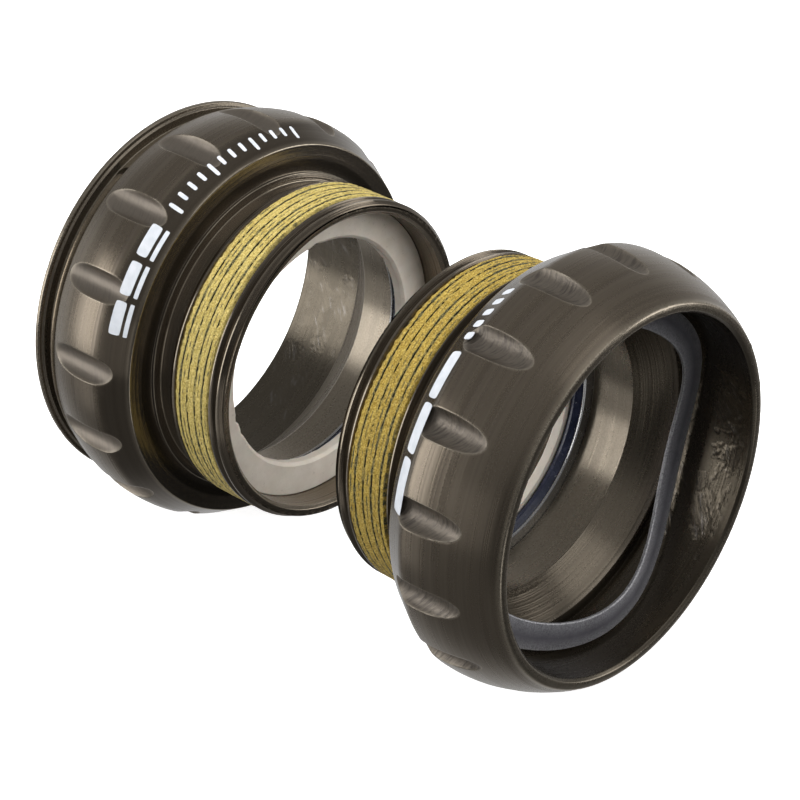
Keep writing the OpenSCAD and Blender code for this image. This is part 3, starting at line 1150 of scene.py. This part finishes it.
def make_camera():
    back, _, _ = camera_axes()
    data = bpy.data.cameras.new("camera")
    data.lens = CAMERA_LENS
    data.sensor_width = CAMERA_SENSOR
    data.clip_start = 0.01
    camera = bpy.data.objects.new("camera", data)
    camera.location = (Vector(CAMERA_TARGET) + back * CAMERA_DISTANCE) * MM
    camera.rotation_mode = "QUATERNION"
    camera.rotation_quaternion = (-back).to_track_quat("-Z", "Y")
    bpy.context.scene.collection.objects.link(camera)
    bpy.context.scene.camera = camera


def towards(azimuth, elevation):
    """A direction from the object: azimuth from the camera to its right, elevation above its axis."""
    back, right, up = camera_axes()
    a, e = math.radians(azimuth), math.radians(elevation)
    return (back * math.cos(a) + right * math.sin(a)) * math.cos(e) + up * math.sin(e)


def softbox(name, azimuth, elevation, width, height, glow, tint=(1, 1, 1), mirrored=True):
    """A rectangular light of a given brightness, which bare metal mirrors unless mirrored is False."""
    data = bpy.data.lights.new(name, "AREA")
    data.shape = "RECTANGLE"
    data.size, data.size_y = width, height
    data.energy = glow * math.pi * width * height
    data.color = tint
    light = bpy.data.objects.new(name, data)
    way = towards(azimuth, elevation)
    light.location = Vector(CAMERA_TARGET) * MM + way * LIGHT_DISTANCE
    light.rotation_mode = "QUATERNION"
    light.rotation_quaternion = way.to_track_quat("Z", "Y")
    light.visible_glossy = mirrored
    bpy.context.scene.collection.objects.link(light)


def make_lights():
    softbox("key_left", -80, 3, 0.28, 0.42, 3.0)
    softbox("back_left", -118, 12, 0.22, 0.42, 0.5, tint=(0.93, 0.97, 1.0))
    softbox("top_right", 38, 36, 0.40, 0.34, 0.5)
    softbox("key_low", -98, -24, 0.20, 0.22, 0.6)
    softbox("low_left", -42, -26, 0.30, 0.30, 0.3)
    softbox("rim_right", 92, 8, 0.22, 0.36, 2.4)
    softbox("rim_low", 50, -50, 0.26, 0.26, 0.7)
    softbox("fill_top", 20, 60, 0.7, 0.7, 3.2, mirrored=False)
    softbox("fill_left", -50, 10, 0.6, 0.6, 2.8, mirrored=False)
    softbox("fill_right", 62, 8, 0.6, 0.6, 2.0, mirrored=False)


def make_world():
    """Pale behind the object and dimmer in front of it, as in a small light tent."""
    world = bpy.data.worlds.new("studio")
    bpy.context.scene.world = world
    n = Nodes(world)
    n.tree.nodes.clear()
    way = n.add("TexCoord").outputs["Generated"]
    back, _, up = camera_axes()

    def glow_towards(direction, *limits):
        share = n.add("VectorMath", {0: way, 1: direction}, operation="DOT_PRODUCT")
        return n.mapped(share.outputs["Value"], *limits, curve="SMOOTHSTEP")

    behind = glow_towards(-back, 0.3, 0.95, 0.0, 0.55)
    upper = glow_towards(up, -0.7, 0.6, 0.20, 0.36)
    low_front = glow_towards(towards(5, -40), 0.78, 0.97, 1.0, 0.2)
    low_right = glow_towards(towards(100, -28), 0.7, 0.93, 1.0, 0.15)
    tent = n.plus(behind, n.times(upper, low_front, low_right))
    seen = n.add("LightPath").outputs["Is Camera Ray"]
    strength = n.add("Mix", {0: seen, 2: tent, 3: 1.0}).outputs[0]
    background = n.add("Background", {"Strength": strength}).outputs[0]
    n.add("OutputWorld", {"Surface": background})


def make_floor(low):
    """Pale matte floor just under the object, which the metal doesn't mirror."""
    mesh = bpy.data.meshes.new("floor")
    half = FLOOR_HALF
    corners = [(-half, -half, low), (half, -half, low), (half, half, low), (-half, half, low)]
    mesh.from_pydata(corners, [], [(0, 1, 2, 3)])
    floor = bpy.data.objects.new("floor", mesh)
    bpy.context.scene.collection.objects.link(floor)
    n = new_material("floor_pale")
    n.set(Base_Color=FLOOR_PALE, Roughness=0.9)
    n.set(Emission_Color=FLOOR_GLOW, Emission_Strength=0.8)
    mesh.materials.append(n.owner)
    floor.visible_glossy = False
    floor.visible_diffuse = False
    floor.visible_shadow = False


# ---------------------------------------------------------------- the object


def stand_for(piece, body, node):
    """Let a piece ride on a body in the place of a CAD node."""
    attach(piece, body)
    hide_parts(node)


def build_cups(drive, left):
    drive_metal = anodised_material("anodised_drive", -16.0, -7.5, (-170, -60), 0.03, 0.035)
    left_metal = anodised_material("anodised_left", 37.5, 46.0, (-150, -65), 0.09, 0.11)
    # The clip holes are lined with painted shade
    hole_shade = hole_shade_material("dark_drilled_wall")
    shell = cup("drive_shell", drive, DRIVE_SHAPE, drive_end_corners(drive.length), drive_metal)
    for angle in CLIP_HOLE_ANGLES:
        drill(shell, drive, angle, hole_shade)
    stand_for(shell, "drive_side", "drive_cup")
    shell = cup("left_shell", left, LEFT_SHAPE, left_end_corners(left.length), left_metal)
    stand_for(shell, "left_side", "left_cup")


def build_coats(drive, left):
    drive_coat = coating_material("coating_drive", DRIVE_COAT, 0.55)
    # The left cup's coating is a darker copy of the drive cup's: painted shade
    left_coat = coating_material("coating_left", LEFT_COAT_SHADED, 0.75)
    half_cell = math.pi * CELL_COLUMNS / COLUMNS
    coat = thread_coat("drive_coat", drive, DRIVE_SHAPE["phase"] - half_cell, SEED, drive_coat)
    stand_for(coat, "drive_side", "drive_thread_coating")
    coat = thread_coat("left_coat", left, LEFT_SHAPE["phase"] - half_cell, SEED + 1, left_coat)
    stand_for(coat, "left_side", "left_thread_coating")


def build_seals(drive, left):
    cream = cream_material("cream_plastic")
    rubber = rubber_material("blue_black_rubber")
    bright = steel_material("bright_steel", BRIGHT_STEEL, 0.24)
    for side, word in ((drive, "drive"), (left, "left")):
        body = word + "_side"
        ring = seal_ring(word + "_cream_ring", side, cream)
        stand_for(ring, body, word + "_seal_ring")
        ring = axle_seal(word + "_rubber_seal", side, rubber)
        stand_for(ring, body, word + "_axle_seal")
        ring = seal_washer(word + "_steel_washer", side, bright)
        stand_for(ring, body, word + "_seal_washer")


def build_springs(drive, left):
    blued = steel_material("blued_spring_steel", BLUED_STEEL, 0.42, 0.5)
    bronzed = steel_material("bronzed_spring_steel", BRONZED_STEEL, 0.27)
    clip = bearing_clip("wire_clip", drive, bronzed)
    stand_for(clip, "drive_side", "bearing_clip")
    washer = wave_washer("waved_washer", left, blued)
    stand_for(washer, "washer", "wave_washer")


def build_marks(drive, left):
    """Ink on the cups, which stands for no CAD node."""
    ink = ink_material("white_ink")
    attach(drive_marks("drive_printed_marks", drive, ink), "drive_side")
    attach(left_marks("left_printed_marks", left, ink), "left_side")


def build_object():
    drive, left = Side("drive_cup", -1), Side("left_cup", 1)
    for build in (build_cups, build_coats, build_seals, build_springs, build_marks):
        build(drive, left)


make_camera()
build_object()
make_floor(CAD_BOX[0].z - FLOOR_GAP)
make_world()
make_lights()
bpy.context.scene.view_settings.view_transform = "Standard"
